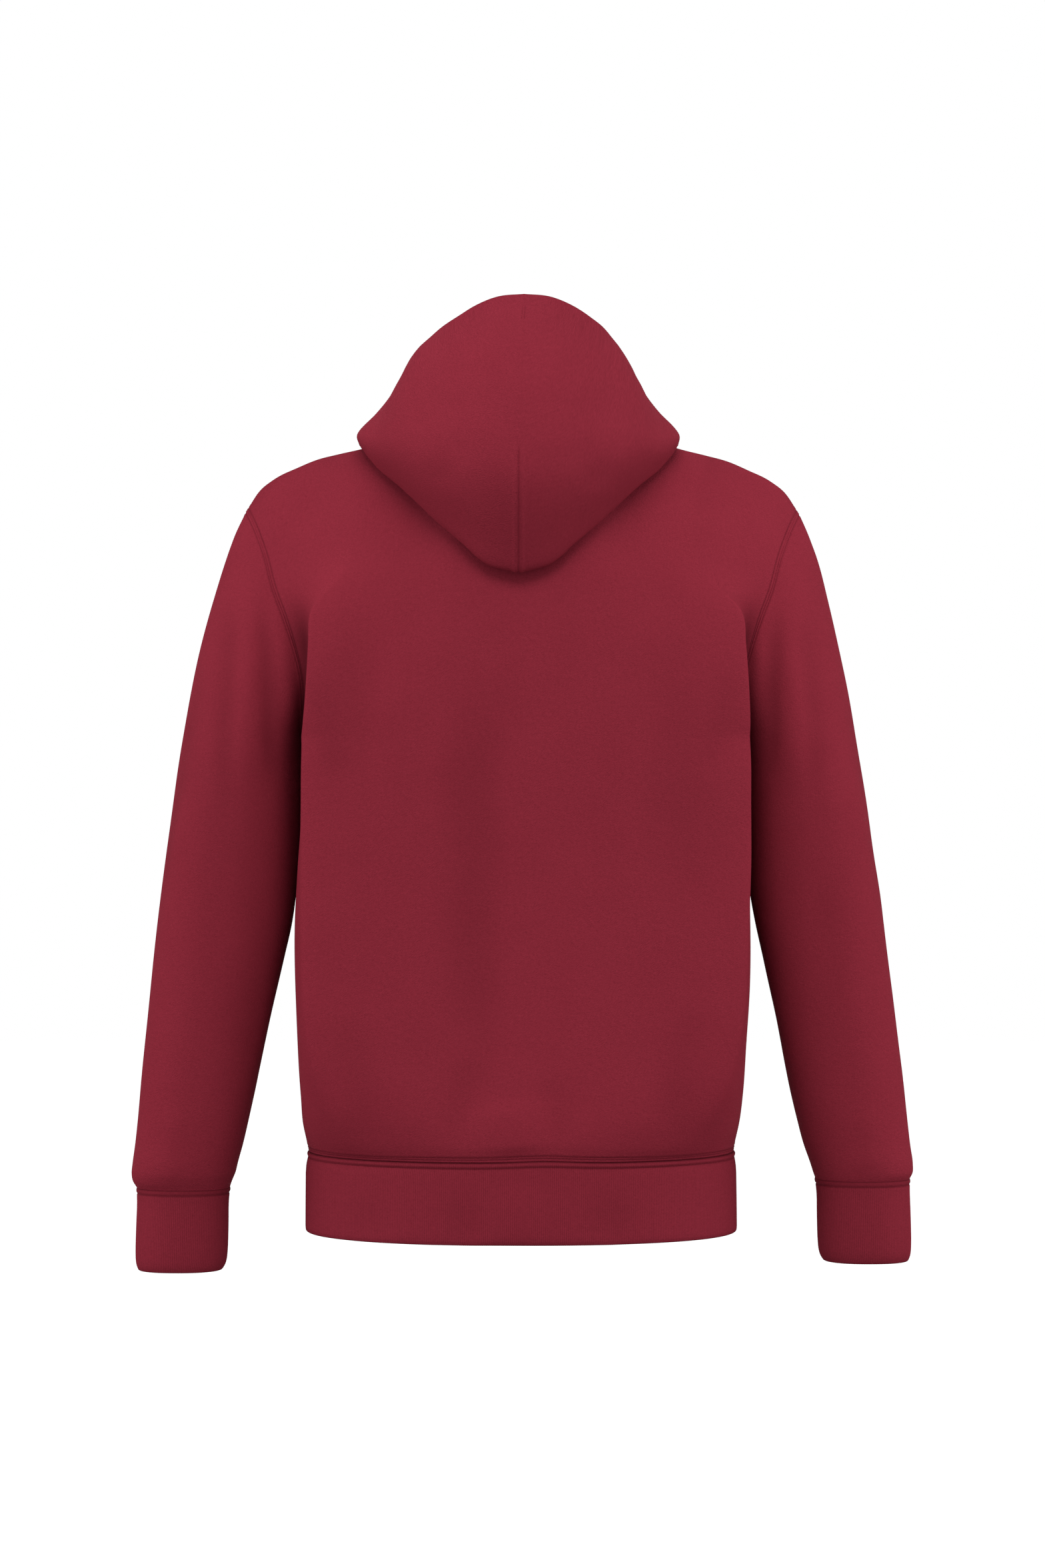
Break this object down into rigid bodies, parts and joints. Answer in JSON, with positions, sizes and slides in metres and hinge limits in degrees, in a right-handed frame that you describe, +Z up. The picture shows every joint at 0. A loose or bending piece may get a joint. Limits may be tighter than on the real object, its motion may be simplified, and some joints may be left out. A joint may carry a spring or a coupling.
{
  "type": "zip-up hoodie",
  "caption": "Burgundy fleece zip-up hoodie, filled out with no wearer, hood folded down on the back, zip closed, rib cuffs and waistband.",
  "frame": {"origin": "centre of the neck base, level with the high points of the shoulders, where the wearer's shoulders and neck hold it up", "axes": "+X towards the wearer's left, -Y the front with the zip, +Y the back, +Z up"},
  "size_m": [0.6756, 0.3032, 0.8293],
  "materials": {
    "fleece": "brushed cotton fleece",
    "rib": "rib knit",
    "zip_tape": "woven tape",
    "zip_metal": "nickel plate"
  },
  "bodies": {
    "garment": {"back": "fleece", "front_left": "fleece", "front_right": "fleece", "sleeve_left": "fleece", "sleeve_right": "fleece", "hood": "fleece", "cuff_left": "rib", "cuff_right": "rib", "waistband": "rib", "zip_tape_left": "zip_tape", "zip_tape_right": "zip_tape", "zip_slider": "zip_metal", "zip_box": "zip_metal"},
    "pull_tab": {"zip_pull": "zip_metal"}
  },
  "joints": [
    {"name": "zip_pull_hinge", "type": "hinge", "parent": "garment", "child": "pull_tab", "pos_m": [0, -0.09068, -0.08201], "axis": [-1, 0, 0], "range_deg": [0, 150]}
  ]
}
